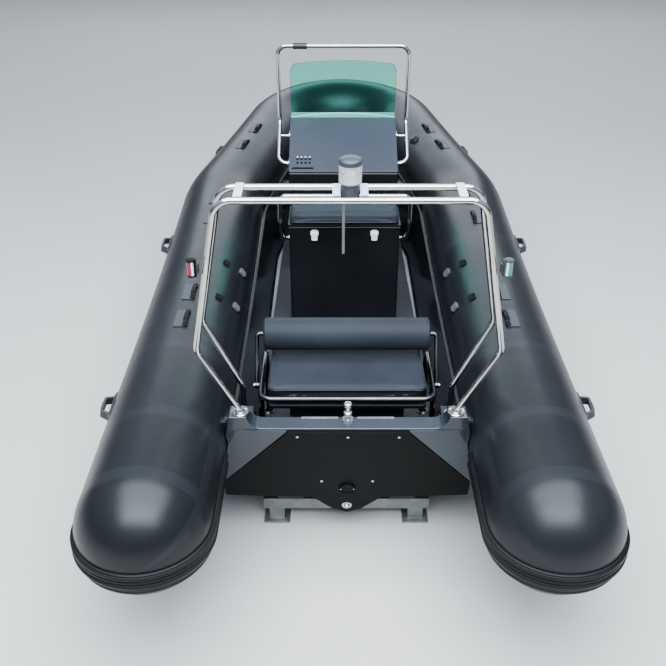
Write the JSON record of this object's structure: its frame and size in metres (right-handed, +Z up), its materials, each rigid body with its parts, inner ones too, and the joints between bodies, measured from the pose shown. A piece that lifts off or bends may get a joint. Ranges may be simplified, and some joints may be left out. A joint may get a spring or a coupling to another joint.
{
  "type": "rigid inflatable boat with a console and a light arch, on a steel cradle",
  "caption": "Black rigid inflatable boat with a steering console, helm seat, aft bench and steel light arch, standing on a low cradle; carries a small crew over water.",
  "frame": {"origin": "on the floor under the middle of the boat's length and width", "axes": "+Y forward to the bow, +X to starboard, +Z up"},
  "size_m": [2.0984, 4.7941, 1.8033],
  "materials": {
    "tube_fabric": "satin coated fabric, near black",
    "strake_rubber": "matt ribbed black rubber",
    "fitting_rubber": "moulded black rubber",
    "gelcoat": "gloss black gelcoat",
    "lid_gelcoat": "gloss black gelcoat",
    "nonskid": "grey moulded non-skid",
    "trim_grey": "grey edge trim",
    "pad_plastic": "black pad with a fine grain",
    "steel": "polished stainless steel",
    "bracket_grey": "grey brackets round a black base",
    "lens_clear": "clear ribbed lens with a black cap",
    "light_red": "red lens in a black housing",
    "light_green": "green lens in a black housing",
    "dash_grey": "satin charcoal",
    "panel_black": "black switch plate with grey toggles",
    "screen_tint": "green tinted sheet",
    "vinyl": "smooth dark grey-blue marine vinyl",
    "galvanised": "dull galvanised steel",
    "chock_rubber": "matt black rubber"
  },
  "bodies": {
    "boat": {"rigid_hull": "gelcoat", "deck": "nonskid", "liner_port": "gelcoat", "liner_starboard": "gelcoat", "bow_deck": "gelcoat", "rim_port": "trim_grey", "rim_starboard": "trim_grey", "transom": "gelcoat", "transom_fairings": "gelcoat", "engine_pad": "pad_plastic", "drain_plug": "steel", "drain_cover": "fitting_rubber", "tow_post": "steel", "bow_eye": "steel", "bow_cleat": "steel", "tube_port": "tube_fabric", "tube_starboard": "tube_fabric", "tube_bow": "tube_fabric", "strake_port": "strake_rubber", "strake_starboard": "strake_rubber", "strake_bow": "strake_rubber", "grab_handles": "fitting_rubber", "strap_handles": "fitting_rubber", "paddle_clips": "fitting_rubber", "valve": "fitting_rubber", "arch_aft_hoop": "steel", "arch_fore_hoop": "steel", "arch_links": "steel", "arch_rod": "steel", "light_base": "bracket_grey", "all_round_light": "lens_clear", "nav_light_port": "light_red", "nav_light_starboard": "light_green", "console": "gelcoat", "dash": "dash_grey", "switch_panel": "panel_black", "windscreen": "screen_tint", "console_rail": "steel", "seat_box": "gelcoat", "seat_hinge": "steel", "seat_latches": "steel", "seat_rail": "steel", "bench_base": "gelcoat", "bench_rail": "steel", "bench_cushion": "vinyl", "cradle_beams": "galvanised", "cradle_rails": "galvanised", "cradle_chocks": "chock_rubber"},
    "seat_lid": {"seat_lid": "lid_gelcoat", "seat_cushion": "vinyl"},
    "backrest": {"backrest_frame": "steel", "backrest_bolster": "vinyl"}
  },
  "joints": [
    {"name": "seat_lid_hinge", "type": "hinge", "parent": "boat", "child": "seat_lid", "pos_m": [0, 0.019, 0.925], "axis": [-1, 0, 0], "range_deg": [0, 85]},
    {"name": "backrest_swing", "type": "hinge", "parent": "boat", "child": "backrest", "pos_m": [0, -1.29, 0.63], "axis": [1, 0, 0], "range_deg": [0, 60]}
  ]
}
